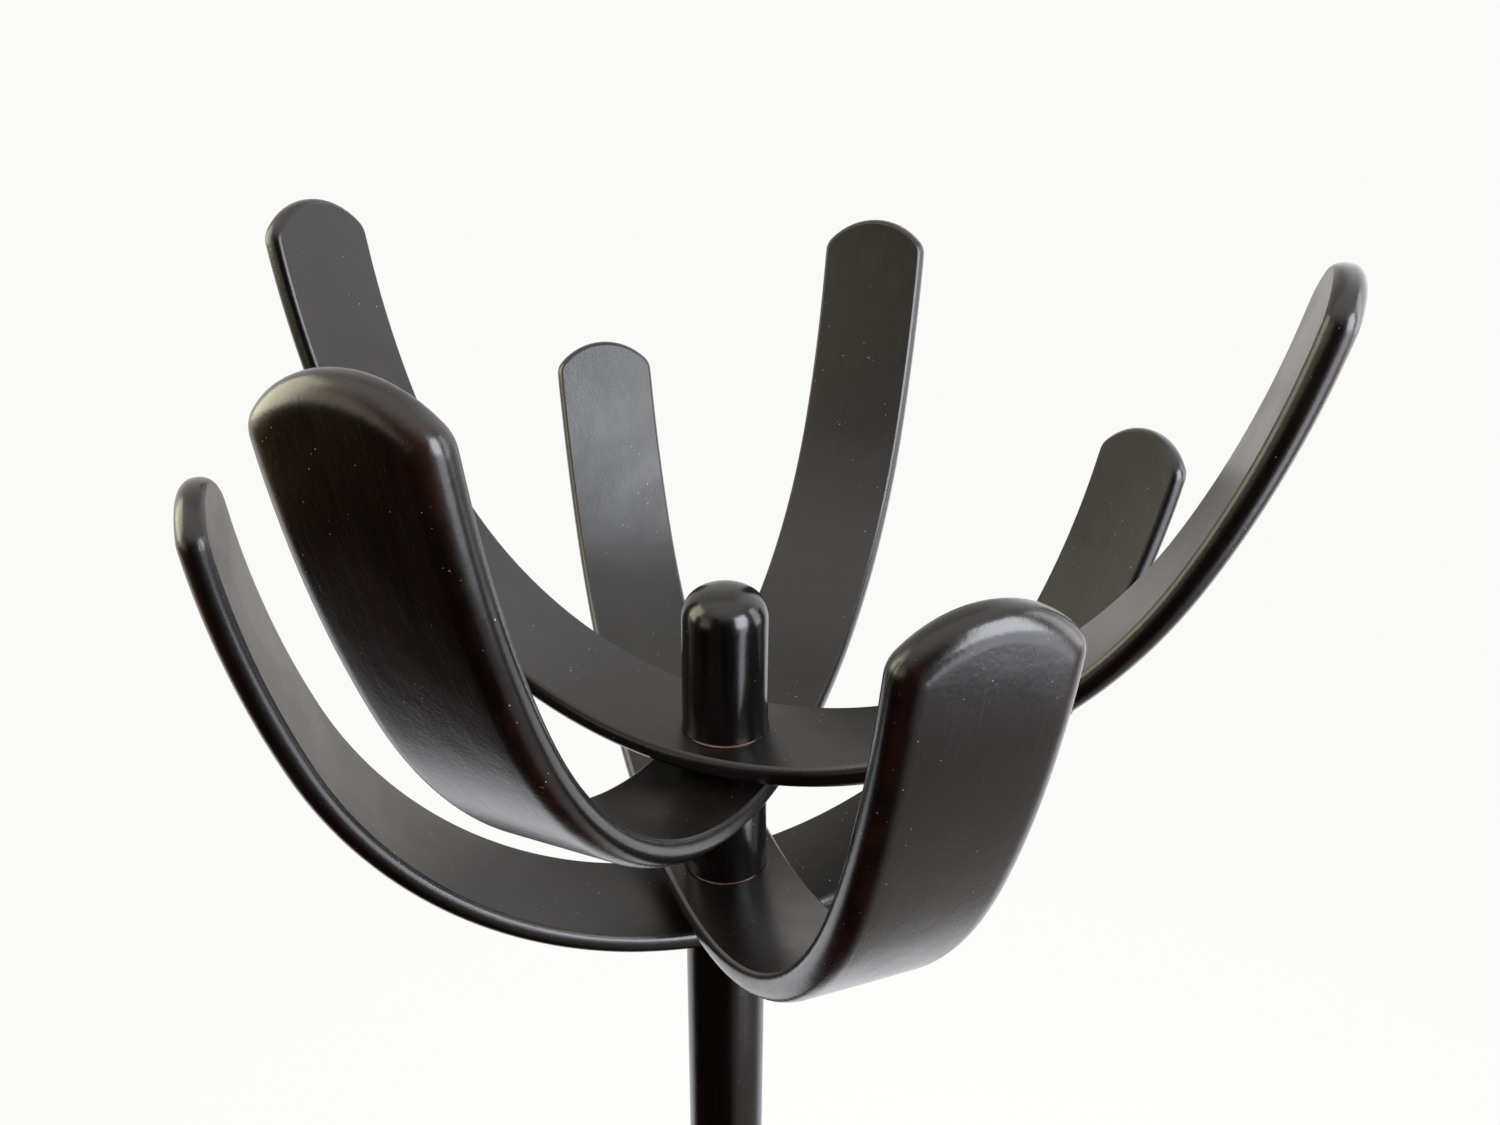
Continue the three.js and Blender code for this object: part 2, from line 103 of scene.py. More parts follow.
class Nodes:
    """Short calls for placing and joining the nodes of one material, group or world."""

    def __init__(self, tree):
        self.tree = tree

    def add(self, kind, values=None, **settings):
        node = self.tree.nodes.new(kind)
        for key, value in settings.items():
            setattr(node, key, value)
        for key, value in (values or {}).items():
            self.give(node.inputs[key], value)
        return node

    def give(self, socket, value):
        if isinstance(value, bpy.types.NodeSocket):
            self.tree.links.new(value, socket)
        else:
            socket.default_value = value

    def math(self, operation, first, second=0.0, third=0.0):
        values = {0: first, 1: second, 2: third}
        return self.add("ShaderNodeMath", values, operation=operation).outputs[0]

    def fit(self, value, low, high, to_low=0.0, to_high=1.0):
        """The value carried smoothly from one range to another, and held at its ends."""
        values = {"Value": value, "From Min": low, "From Max": high, "To Min": to_low, "To Max": to_high}
        return self.add("ShaderNodeMapRange", values, interpolation_type="SMOOTHSTEP").outputs["Result"]

    def mix(self, share, first, second):
        values = {"Factor": share, "A": first, "B": second}
        node = self.add("ShaderNodeMix", data_type="RGBA")
        for socket in node.inputs:
            if socket.enabled and socket.name in values:
                self.give(socket, values[socket.name])
        return next(socket for socket in node.outputs if socket.enabled)

    def stretch(self, place, factors):
        return self.add("ShaderNodeVectorMath", {0: place, 1: factors}, operation="MULTIPLY").outputs[0]

    def noise(self, place, scale, detail, roughness=0.5, distortion=0.0):
        values = {"Vector": place, "Scale": scale, "Detail": detail, "Roughness": roughness,
                  "Distortion": distortion}
        return self.add("ShaderNodeTexNoise", values).outputs["Fac"]

    def bump(self, strength, distance, height):
        values = {"Strength": strength, "Distance": distance, "Height": height}
        return self.add("ShaderNodeBump", values).outputs["Normal"]


PALE_BACKDROP = (0.955, 0.955, 0.94, 1)
DARK_FLOOR = (0.025, 0.009, 0.005, 1)
LIT_FLOOR = (0.5, 0.46, 0.44, 1)
WHITE_FLOOR = (1.4, 1.4, 1.45, 1)
CEILING = (1.6, 1.58, 1.54, 1)
WHITE_WALL = (1.0, 0.97, 0.94, 1)
SUNNY_WALL = (1.9, 1.88, 1.9, 1)
GARDEN_WALL = (1.7, 1.55, 1.3, 1)


def room_light():
    """The room round the stand, as it shows in the lacquer: dark floor in front, lit floor on the right,
    white walls and floor behind, and a pale ceiling. The camera itself sees an even near-white. Each
    share grows from none at its first direction to all at its second."""
    world = bpy.data.worlds.new("room")
    world.use_nodes = True
    world.node_tree.nodes.clear()
    n = Nodes(world.node_tree)
    direction = n.add("ShaderNodeTexCoord").outputs["Generated"]
    way = n.add("ShaderNodeSeparateXYZ", {0: direction}).outputs
    overhead = n.fit(way["Z"], 0.2, 0.95)
    leftward = n.fit(way["X"], -0.45, -0.8)
    over_skirting = n.fit(way["Z"], -0.16, 0.02)
    under_window = n.fit(way["Z"], 0.6, 0.25)
    rightward = n.fit(way["X"], 0.12, 0.45)
    on_floor = n.fit(way["Z"], 0.05, -0.1)
    right_corner = n.fit(way["X"], 0.15, 0.5)
    down = n.fit(way["Z"], -0.3, -0.7)
    straight_down = n.fit(way["Z"], -0.91, -0.97)
    backward = n.fit(way["Y"], 0.09, 0.36)

    front = n.mix(overhead, DARK_FLOOR, CEILING)
    by_garden = n.math("MULTIPLY", leftward, over_skirting)
    front = n.mix(n.math("MULTIPLY", by_garden, under_window), front, GARDEN_WALL)
    front = n.mix(n.math("MULTIPLY", rightward, on_floor), front, LIT_FLOOR)
    back = n.mix(right_corner, WHITE_WALL, SUNNY_WALL)
    back = n.mix(down, back, WHITE_FLOOR)
    back = n.mix(straight_down, back, LIT_FLOOR)
    room = n.mix(backward, front, back)
    by_camera = n.add("ShaderNodeLightPath").outputs["Is Camera Ray"]
    background = n.add("ShaderNodeBackground", {"Color": n.mix(by_camera, room, PALE_BACKDROP)})
    out = n.add("ShaderNodeOutputWorld")
    n.tree.links.new(background.outputs[0], out.inputs["Surface"])
    return world


scene.world = room_light()


FLOOR_REACH = 30.0
FLOOR_PAINT = (0.8, 0.8, 0.8, 1)
GLOW_UNDER_STAND = 0.9
GLOW_STARTS = 0.5
GLOW_FULL = 3.5


def pale_floor():
    """The floor, its colour going over into the room's with distance, so that no horizon shows."""
    mesh = bpy.data.meshes.new("floor")
    corners = [(x * FLOOR_REACH, y * FLOOR_REACH, 0) for x, y in ((-1, -1), (1, -1), (1, 1), (-1, 1))]
    mesh.from_pydata(corners, [], [(0, 1, 2, 3)])
    floor = bpy.data.objects.new("floor", mesh)
    scene.collection.objects.link(floor)
    floor.visible_glossy = False
    floor.visible_diffuse = False
    material = bpy.data.materials.new("floor_white")
    material.use_nodes = True
    material.node_tree.nodes.clear()
    n = Nodes(material.node_tree)
    place = n.add("ShaderNodeTexCoord").outputs["Object"]
    far = n.add("ShaderNodeVectorMath", {0: place}, operation="LENGTH").outputs["Value"]
    paint = n.add("ShaderNodeBsdfDiffuse", {"Color": FLOOR_PAINT})
    glow = n.add("ShaderNodeEmission", {"Color": PALE_BACKDROP})
    shader = n.add("ShaderNodeMixShader", {0: n.fit(far, GLOW_STARTS, GLOW_FULL, GLOW_UNDER_STAND, 1.0)})
    n.tree.links.new(paint.outputs[0], shader.inputs[1])
    n.tree.links.new(glow.outputs[0], shader.inputs[2])
    out = n.add("ShaderNodeOutputMaterial")
    n.tree.links.new(shader.outputs[0], out.inputs["Surface"])
    mesh.materials.append(material)
    return floor


pale_floor()

# ------------------------------------------------------------------ The foot's two bows
# Strips of laminated beech, bent hot over a former, stained nearly black and sprayed with satin lacquer.
# The lower bow is halfway under the upper one, and both stand on their cut ends.
STRIP_THICKNESS = 0.0114
WIDTH_AT_SEAT = 0.060
WIDTH_AT_TIP = 0.057
INNER_BREAK = 0.00025  # the edges round the hollow face are nearly sharp
INNER_BREAK_DEPTH = 0.0002
SIDE_SWELL = 0.0020  # from them the sides swell, to the full width at SIDE_SWELL_DEPTH
SIDE_SWELL_DEPTH = 0.0042
OUTER_ROUND = 0.0062  # the edges round the outer face are well rounded, and run out on to it
OUTER_RUN_OUT = 0.0080
OUTER_ROUND_MARK = 0.4  # how strongly the rounding is marked as an edge that wears
END_STEPS = 8
CORNER_STEPS = 5
LENGTH_STEPS = 110
WIDTH_STEPS = 8
SWELL_STEPS = 6
ROUND_STEPS = 10
SHARP_ANGLE = math.radians(38)
NO_TURN = 1e-6
FOOT_SEAT_HALF = 0.032
FOOT_BEND_RADIUS = 0.230
FOOT_BEND = math.radians(62)
FOOT_END_RADIUS = 0.2  # nearly square ends
FOOT_CORNER_RADIUS = 0.0055
SAW_MARGIN = 0.006
SAW_DEPTH = 0.1
HOLE_SIDES = 40
DOWEL_SIDES = 24
BOLT_HOLE_RADIUS = 0.0055
DOWEL_HOLE_RADIUS = 0.0028
DOWEL_PLACE = (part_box("dowel_2")[0][0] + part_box("dowel_2")[1][0]) / 2


class Bend:
    """The line that a bow's inner face follows: seat, bend and arm on each side of the hole."""

    def __init__(self, seat, radius, angle, openings, arms, curl):
        self.seat, self.curl = seat, curl
        self.length = radius * angle
        self.bends = [angle + opening for opening in openings]
        self.arms = arms
        self.sides = [seat + self.length + arm for arm in arms]

    def at(self, distance):
        run, side = abs(distance), int(distance >= 0)
        bend = self.bends[side]
        radius = self.length / bend
        turn = min(max((run - self.seat) / radius, 0), bend)
        along = max(run - self.seat - self.length, 0)
        arm_turn = self.curl * along / self.arms[side]
        chord = 2 * along * math.sin(arm_turn / 2) / arm_turn if arm_turn > NO_TURN else along
        lean = bend + arm_turn / 2
        out = min(run, self.seat) + radius * math.sin(turn) + chord * math.cos(lean)
        up = radius * (1 - math.cos(turn)) + chord * math.sin(lean)
        return out, up, turn + arm_turn

    def place(self, distance, across, depth):
        """A point of the flat strip, as it lies once the strip is bent."""
        out, up, slope = self.at(distance)
        side = 1 if distance >= 0 else -1
        return Vector((side * (out + depth * math.sin(slope)), -across, up - depth * math.cos(slope)))


def half_outline(bend, tip_radius, corner_radius):
    """Half of the strip's plan from tip to tip: (along, across, normal along, normal across)."""
    points = []
    half = WIDTH_AT_TIP / 2
    rise = math.sqrt((tip_radius - corner_radius) ** 2 - (half - corner_radius) ** 2)
    sweep = math.atan2(half - corner_radius, rise)
    for side, length in ((-1, bend.sides[0]), (1, bend.sides[1])):
        centre = length - tip_radius
        end = []
        for i in range(END_STEPS + 1):
            turn = sweep * i / END_STEPS
            end.append((centre, 0, tip_radius, turn))
        for i in range(1, CORNER_STEPS + 1):
            turn = sweep + (math.pi / 2 - sweep) * i / CORNER_STEPS
            end.append((centre + rise, half - corner_radius, corner_radius, turn))
        end = [(side * (s + r * math.cos(a)), c + r * math.sin(a), side * math.cos(a), math.sin(a))
               for s, c, r, a in end]
        points.append(end if side < 0 else end[::-1])
    start, stop = points[0][-1][0], points[1][0][0]
    middle = []
    for i in range(1, LENGTH_STEPS):
        along = start + (stop - start) * i / LENGTH_STEPS
        share = abs(along) / (bend.sides[0] if along < 0 else bend.sides[1])
        middle.append((along, (WIDTH_AT_SEAT + (WIDTH_AT_TIP - WIDTH_AT_SEAT) * share) / 2, 0, 1))
    return points[0] + middle + points[1]


def strip_mesh(name, bend, number, tip_radius, corner_radius):
    """A rounded-over strip, bent. Its points carry how far they are round the outer edge, and their place
    on the flat strips, laid out a metre apart so that no two have the same marks."""
    half = half_outline(bend, tip_radius, corner_radius)
    rings = []
    swell_turn = 2 * math.atan(SIDE_SWELL / SIDE_SWELL_DEPTH)
    swell_radius = SIDE_SWELL_DEPTH / math.sin(swell_turn)
    rings.append((SIDE_SWELL + INNER_BREAK, 0, 0.0))
    for i in range(SWELL_STEPS + 1):
        turn = swell_turn * (1 - i / SWELL_STEPS)
        depth = max(SIDE_SWELL_DEPTH - swell_radius * math.sin(turn), INNER_BREAK_DEPTH)
        rings.append((swell_radius * (1 - math.cos(turn)), depth, 1.0 if i == 0 else 0.0))
    for i in range(ROUND_STEPS + 1):
        turn = math.pi / 2 * i / ROUND_STEPS
        depth = STRIP_THICKNESS - OUTER_ROUND * (1 - math.sin(turn))
        mark = OUTER_ROUND_MARK * math.sin(2 * turn) ** 3
        rings.append((OUTER_RUN_OUT * (1 - math.cos(turn)), depth, mark))
    flat, edge = [], []
    loops = []
    for inset, depth, roundness in rings:
        right = [(s - inset * ns, c - inset * nc) for s, c, ns, nc in half]
        left = [(s, -c) for s, c in right[1:-1]]
        loop = []
        for s, c in right + left[::-1]:
            loop.append(len(flat))
            flat.append((s, c, depth))
            edge.append(roundness)
        loops.append(loop)
    faces = []
    around = len(loops[0])
    for low, high in zip(loops, loops[1:]):
        for i in range(around):
            j = (i + 1) % around
            faces.append((low[i], low[j], high[j], high[i]))
    last = len(half) - 1
    for loop in (loops[0], loops[-1]):
        previous = None
        for i in range(1, last):
            a, b = loop[i], loop[around - i]
            row = [a]
            for k in range(1, WIDTH_STEPS):
                share = k / WIDTH_STEPS
                row.append(len(flat))
                (s, c, depth), (_, c2, _) = flat[a], flat[b]
                flat.append((s, c + (c2 - c) * share, depth))
                edge.append(0.0)
            row.append(b)
            if previous is None:
                faces.extend((loop[0], row[k], row[k + 1]) for k in range(WIDTH_STEPS))
            else:
                faces.extend((previous[k], row[k], row[k + 1], previous[k + 1]) for k in range(WIDTH_STEPS))
            previous = row
        faces.extend((loop[last], previous[k + 1], previous[k]) for k in range(WIDTH_STEPS))
    mesh = bpy.data.meshes.new(name)
    mesh.from_pydata([bend.place(*point) for point in flat], [], faces)
    lay = mesh.attributes.new("lay", "FLOAT_VECTOR", "POINT")
    lay.data.foreach_set("vector", [value for s, c, depth in flat for value in (s + number, c, depth)])
    rounded = mesh.attributes.new("rounded", "FLOAT", "POINT")
    rounded.data.foreach_set("value", edge)
    tidy_mesh(mesh)
    return mesh


def tidy_mesh(mesh):
    work = bmesh.new()
    work.from_mesh(mesh)
    bmesh.ops.recalc_face_normals(work, faces=work.faces)
    work.to_mesh(mesh)
    work.free()
    mesh.shade_smooth()
    mesh.set_sharp_from_angle(angle=SHARP_ANGLE)


ON_AXIS = 1e-7


def turned_mesh(name, outline, around=72, worn_below=-1.0):
    """A turned piece from (radius, height) points down its outline, which starts and ends on the axis or
    closes on itself. Points no higher than worn_below carry the worn-edge mark."""
    work = bmesh.new()
    layer = work.verts.layers.float.new("rounded")
    rings = []
    for radius, height in outline:
        spokes = 1 if radius < ON_AXIS else around
        ring = []
        for k in range(spokes):
            angle = 2 * math.pi * k / around
            ring.append(work.verts.new((radius * math.cos(angle), radius * math.sin(angle), height)))
        for vertex in ring:
            vertex[layer] = 1.0 if height <= worn_below else 0.0
        rings.append(ring)
    pairs = list(zip(rings, rings[1:]))
    if len(rings[0]) > 1:
        pairs.append((rings[-1], rings[0]))
    for first, second in pairs:
        for k in range(around):
            j = (k + 1) % around
            corners = [first[k % len(first)], first[j % len(first)], second[j % len(second)],
                       second[k % len(second)]]
            unique = list(dict.fromkeys(corners))
            if len(unique) > 2:
                work.faces.new(unique)
    mesh = bpy.data.meshes.new(name)
    work.to_mesh(mesh)
    work.free()
    tidy_mesh(mesh)
    return mesh


def place_piece(name, mesh, material, body, node, height=0.0, azimuth=0.0):
    piece = bpy.data.objects.new(name, mesh)
    piece.location = (0, 0, height)
    piece.rotation_euler = (0, 0, azimuth)
    scene.collection.objects.link(piece)
    mesh.materials.append(material)
    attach(piece, body)
    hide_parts(node)
    return piece


def cut(mesh, *cutters):
    """The mesh with each cutting mesh taken away from it."""
    target = bpy.data.objects.new("cut_target", mesh)
    scene.collection.objects.link(target)
    tools = []
    for cutter in cutters:
        tool = bpy.data.objects.new("cut_tool", cutter)
        scene.collection.objects.link(tool)
        tools.append(tool)
        step = target.modifiers.new("cut", "BOOLEAN")
        step.object = tool
        step.operation = "DIFFERENCE"
        step.solver = "EXACT"
    bpy.context.view_layer.update()
    graph = bpy.context.evaluated_depsgraph_get()
    result = bpy.data.meshes.new_from_object(target.evaluated_get(graph), depsgraph=graph)
    result.name = mesh.name
    for made in tools + [target]:
        bpy.data.objects.remove(made)
    result.shade_smooth()
    result.set_sharp_from_angle(angle=SHARP_ANGLE)
    return result


CUT_REACH = 0.5  # well past whatever is cut


def cutting_rod(radius, low, high, around=72):
    outline = [(0, low), (radius, low), (radius, high), (0, high)]
    return turned_mesh("cutting_rod", outline, around)


def new_group(name, inputs, outputs):
    group = bpy.data.node_groups.new(name, "ShaderNodeTree")
    for label, kind, value in inputs:
        socket = group.interface.new_socket(label, in_out="INPUT", socket_type=kind)
        if value is not None:
            socket.default_value = value
    for label, kind in outputs:
        group.interface.new_socket(label, in_out="OUTPUT", socket_type=kind)
    n = Nodes(group)
    given = n.add("NodeGroupInput").outputs
    result = n.add("NodeGroupOutput").inputs
    return group, n, given, result


GRAIN_SCALE = (9, 300, 300)  # long along the strip and close across it
STAIN_CLOUD_SCALE = 18


def stained_grain_group():
    """Close, straight grain under a dark stain: a colour and a faint height, along the Place's X."""
    group, n, given, result = new_group(
        "stained_grain",
        [("Place", "NodeSocketVector", None), ("Stain", "NodeSocketColor", (0.002, 0.0017, 0.0015, 1)),
         ("Warm Stain", "NodeSocketColor", (0.01, 0.004, 0.0025, 1))],
        [("Color", "NodeSocketColor"), ("Height", "NodeSocketFloat")])
    streaks = n.noise(n.stretch(given["Place"], GRAIN_SCALE), 1.0, 4, 0.6)
    cloud = n.noise(given["Place"], STAIN_CLOUD_SCALE, 2)
    open_grain = n.fit(streaks, 0.4, 0.7)
    thin_stain = n.fit(cloud, 0.38, 0.66)
    warm = n.math("MULTIPLY", open_grain, thin_stain)
    n.give(result["Color"], n.mix(warm, given["Stain"], given["Warm Stain"]))
    n.give(result["Height"], streaks)
    return group


RIPPLE_SCALE = 75
RIPPLE_OVER_PEEL = 3.0
POLISH_SCALE = 16
RUBBING_SCALE = (70, 1900, 1900)


def lacquer_film_group():
    """A sprayed film: long ripples and a fine orange peel as a height, rubbing marks along the grain, and
    cloudy patches where hands have polished it."""
    group, n, given, result = new_group(
        "lacquer_film",
        [("Place", "NodeSocketVector", None), ("Peel Scale", "NodeSocketFloat", 520.0)],
        [("Height", "NodeSocketFloat"), ("Polish", "NodeSocketFloat"), ("Rubbing", "NodeSocketFloat")])
    ripple = n.noise(given["Place"], RIPPLE_SCALE, 1)
    peel = n.noise(given["Place"], given["Peel Scale"], 1)
    patches = n.noise(given["Place"], POLISH_SCALE, 3, distortion=0.8)
    marks = n.noise(n.stretch(given["Place"], RUBBING_SCALE), 1.0, 2, 0.7)
    n.give(result["Height"], n.math("MULTIPLY_ADD", ripple, RIPPLE_OVER_PEEL, peel))
    n.give(result["Polish"], n.fit(patches, 0.38, 0.64))
    n.give(result["Rubbing"], n.fit(marks, 0.5, 0.72))
    return group


DUST_SCALE = 760
DUST_PATCH_SCALE = 30
SPARSE_SHARE = 0.03
CROWDED_SHARE = 0.45
SPECK_SIZES = (0.05, 0.16)
FAINTEST_SPECK = 0.07
BRIGHTEST_SPECK = 0.8


def dust_group():
    """Specks of dust, sparse in most places and thick in a few, some bright and most faint."""
    group, n, given, result = new_group(
        "dust",
        [("Place", "NodeSocketVector", None), ("Amount", "NodeSocketFloat", 0.5)],
        [("Mask", "NodeSocketFloat")])
    scattered = {"Vector": given["Place"], "Scale": DUST_SCALE, "Randomness": 1.0}
    cells = n.add("ShaderNodeTexVoronoi", scattered).outputs
    tone = n.add("ShaderNodeSeparateColor", {0: cells["Color"]}).outputs
    crowd = n.fit(n.noise(given["Place"], DUST_PATCH_SCALE, 3, 0.6), 0.5, 0.78)
    share = n.math("MULTIPLY_ADD", crowd, CROWDED_SHARE, SPARSE_SHARE)
    chosen = n.math("LESS_THAN", tone["Red"], n.math("MULTIPLY", share, given["Amount"]))
    reach = n.fit(tone["Green"], 0.0, 1.0, *SPECK_SIZES)
    within = n.math("LESS_THAN", cells["Distance"], reach)
    mostly_faint = n.math("POWER", tone["Blue"], 4.0)
    bright = n.math("MULTIPLY_ADD", mostly_faint, BRIGHTEST_SPECK, FAINTEST_SPECK)
    n.give(result["Mask"], n.math("MULTIPLY", n.math("MULTIPLY", chosen, within), bright))
    return group


WEAR_PATCH_SCALE = 34
CHIP_SCALE = 210
CHIP_LIMIT = 0.735
WEAR_LOWERS_LIMIT = -0.08
LEAST_EDGE_CHIPPED = 0.2


def edge_wear_group():
    """Where a marked edge is rubbed thin or chipped, broken up by noise."""
    group, n, given, result = new_group(
        "edge_wear",
        [("Place", "NodeSocketVector", None), ("Edge", "NodeSocketFloat", 0.0),
         ("Wear", "NodeSocketFloat", 0.5)],
        [("Rubbed", "NodeSocketFloat"), ("Chipped", "NodeSocketFloat")])
    patches = n.noise(given["Place"], WEAR_PATCH_SCALE, 4, 0.6)
    chips = n.noise(given["Place"], CHIP_SCALE, 5, 0.7)
    rubbed = n.math("MULTIPLY", given["Edge"], n.fit(patches, 0.4, 0.66))
    n.give(result["Rubbed"], n.math("MULTIPLY", rubbed, given["Wear"]))
    limit = n.math("MULTIPLY_ADD", given["Wear"], WEAR_LOWERS_LIMIT, CHIP_LIMIT)
    deep = n.math("GREATER_THAN", chips, limit)
    at_edge = n.math("GREATER_THAN", given["Edge"], LEAST_EDGE_CHIPPED)
    n.give(result["Chipped"], n.math("MULTIPLY", deep, at_edge))
    return group


STAINED_GRAIN = stained_grain_group()
LACQUER_FILM = lacquer_film_group()
DUST = dust_group()
EDGE_WEAR = edge_wear_group()


def placed_group(n, group, **values):
    """A shader group put into a material, with its inputs given by name."""
    node = n.add("ShaderNodeGroup", node_tree=group)
    for label, value in values.items():
        n.give(node.inputs[label.replace("_", " ")], value)
    return node.outputs


CHIPPED_WOOD = (0.2, 0.085, 0.05, 1)
DUST_TONE = (0.75, 0.73, 0.7, 1)
LACQUER_IOR = 1.5
HOLLOW_FACE_DEPTH = (0.0002, 0.0012)
RUBBING_DULLS = 0.05
CHIP_DULLS = 0.3
GRAIN_STANDS = 0.15
SPECK_STANDS = 3.0
CHIP_STANDS = -2.0


def lacquered_wood(name, stain, warm_stain, rubbed, satin, gloss, wear, dust, strip=False, inner_matt=0.0):
    """Stained wood under lacquer. satin and gloss are the film's roughness where it is dull and where it
    is polished. A bent strip's points carry where they lie on the flat one; a turned piece has its own."""
    material = bpy.data.materials.new(name)
    material.use_nodes = True
    n = Nodes(material.node_tree)
    shader = material.node_tree.nodes["Principled BSDF"]
    if strip:
        place = n.add("ShaderNodeAttribute", attribute_name="lay").outputs["Vector"]
    else:
        place = n.add("ShaderNodeTexCoord").outputs["Object"]
        place = n.add("ShaderNodeMapping", {"Vector": place, "Rotation": (0, math.pi / 2, 0)}).outputs[0]
    edge = n.add("ShaderNodeAttribute", attribute_name="rounded").outputs["Fac"]
    grain = placed_group(n, STAINED_GRAIN, Place=place, Stain=stain, Warm_Stain=warm_stain)
    film = placed_group(n, LACQUER_FILM, Place=place)
    specks = placed_group(n, DUST, Place=place, Amount=dust)["Mask"]
    worn = placed_group(n, EDGE_WEAR, Place=place, Edge=edge, Wear=wear)
    color = n.mix(worn["Rubbed"], grain["Color"], rubbed)
    color = n.mix(worn["Chipped"], color, CHIPPED_WOOD)
    n.give(shader.inputs["Base Color"], n.mix(specks, color, DUST_TONE))
    roughness = n.math("MULTIPLY_ADD", film["Polish"], gloss - satin, satin)
    roughness = n.math("MULTIPLY_ADD", film["Rubbing"], RUBBING_DULLS, roughness)
    roughness = n.math("MULTIPLY_ADD", worn["Chipped"], CHIP_DULLS, roughness)
    if strip:
        depth = n.add("ShaderNodeSeparateXYZ", {0: place}).outputs["Z"]
        hollow_face = n.fit(depth, *HOLLOW_FACE_DEPTH, 1.0, 0.0)
        roughness = n.math("MULTIPLY_ADD", hollow_face, inner_matt, roughness)
    n.give(shader.inputs["Roughness"], roughness)
    shader.inputs["IOR"].default_value = LACQUER_IOR
    height = n.math("MULTIPLY_ADD", grain["Height"], GRAIN_STANDS, film["Height"])
    height = n.math("MULTIPLY_ADD", specks, SPECK_STANDS, height)
    height = n.math("MULTIPLY_ADD", worn["Chipped"], CHIP_STANDS, height)
    n.give(shader.inputs["Normal"], n.bump(0.14, 0.0003, height))
    return material


BOW_LACQUER = lacquered_wood(
    "bow_lacquer", stain=(0.0012, 0.0008, 0.0007, 1), warm_stain=(0.006, 0.0014, 0.0008, 1),
    rubbed=(0.07, 0.022, 0.013, 1), satin=0.28, gloss=0.23, wear=0.35, dust=1.0, strip=True, inner_matt=0.08)


def dowel_holes(low, high, azimuth=0.0):
    """The two rods that cut the dowels' holes in a piece, which is turned by azimuth when it is placed."""
    holes = []
    for side in (-1, 1):
        hole = cutting_rod(DOWEL_HOLE_RADIUS, low, high, DOWEL_SIDES)
        hole.transform(Matrix.Rotation(-azimuth, 4, "Z") @ Matrix.Translation((side * DOWEL_PLACE, 0, 0)))
        holes.append(hole)
    return holes


def foot_bow(name, number):
    low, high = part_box(name)
    seat = high[2] - STRIP_THICKNESS
    sole = low[2]
    bend_drop = FOOT_BEND_RADIUS * (1 - math.cos(FOOT_BEND))
    arm = (seat - sole - bend_drop + STRIP_THICKNESS) / math.sin(FOOT_BEND) + SAW_MARGIN
    bend = Bend(FOOT_SEAT_HALF, FOOT_BEND_RADIUS, FOOT_BEND, (0, 0), (arm, arm), 0)
    azimuth = 0 if high[0] > high[1] else math.pi / 2
    mesh = strip_mesh(name + "_shape", bend, number, FOOT_END_RADIUS, FOOT_CORNER_RADIUS)
    mesh.transform(Matrix.Translation((0, 0, seat)) @ Matrix.Rotation(math.pi, 4, "X"))
    saw = bpy.data.meshes.new("saw")
    square = ((-1, -1), (1, -1), (1, 1), (-1, 1))
    corners = [(x * CUT_REACH, y * CUT_REACH, z) for z in (sole - SAW_DEPTH, sole) for x, y in square]
    sides = [(k, (k + 1) % 4, (k + 1) % 4 + 4, k + 4) for k in range(4)]
    saw.from_pydata(corners, [], [(0, 3, 2, 1), (4, 5, 6, 7)] + sides)
    bolt_hole = cutting_rod(BOLT_HOLE_RADIUS, 0, CUT_REACH, HOLE_SIDES)
    mesh = cut(mesh, saw, bolt_hole, *dowel_holes(0, CUT_REACH, azimuth))
    place_piece(name + "_wood", mesh, BOW_LACQUER, "stand", name, azimuth=azimuth)


foot_bow("upper_foot_bow", 5)
foot_bow("lower_foot_bow", 6)

# ------------------------------------------------------------------ The pole
# Turned beech, stained and lacquered as the bows are, bored at both ends for threaded brass inserts.
POLE_RADIUS = 0.020
EDGE_BREAK = 0.0008
INSERT_RADIUS = 0.0083
INSERT_DEPTH = 0.0283
FLANGE_RADIUS = 0.0103
FLANGE_DEPTH = 0.0023
GAP = 0.0003
HOLE_MARGIN = 0.01
TURNED_LACQUER = lacquered_wood(
    "turned_lacquer", stain=(0.0007, 0.0006, 0.0006, 1), warm_stain=(0.0025, 0.001, 0.0008, 1),
    rubbed=(0.42, 0.24, 0.18, 1), satin=0.23, gloss=0.18, wear=1.0, dust=0.3)


def pocket(mouth, inwards):
    """The outline of an insert's pocket from the end's face to the axis; inwards is 1 up or -1 down."""
    return [(FLANGE_RADIUS, mouth), (FLANGE_RADIUS, mouth + inwards * FLANGE_DEPTH),
            (INSERT_RADIUS, mouth + inwards * FLANGE_DEPTH), (INSERT_RADIUS, mouth + inwards * INSERT_DEPTH),
            (0, mouth + inwards * INSERT_DEPTH)]


def broken_edge(radius, height, inwards, steps=3):
    """The outline of a turned end's softened edge, from the side to the end's face."""
    points = []
    for i in range(steps + 1):
        turn = math.pi / 2 * i / steps
        points.append((radius - EDGE_BREAK * (1 - math.cos(turn)),
                       height + inwards * EDGE_BREAK * (1 - math.sin(turn))))
    return points


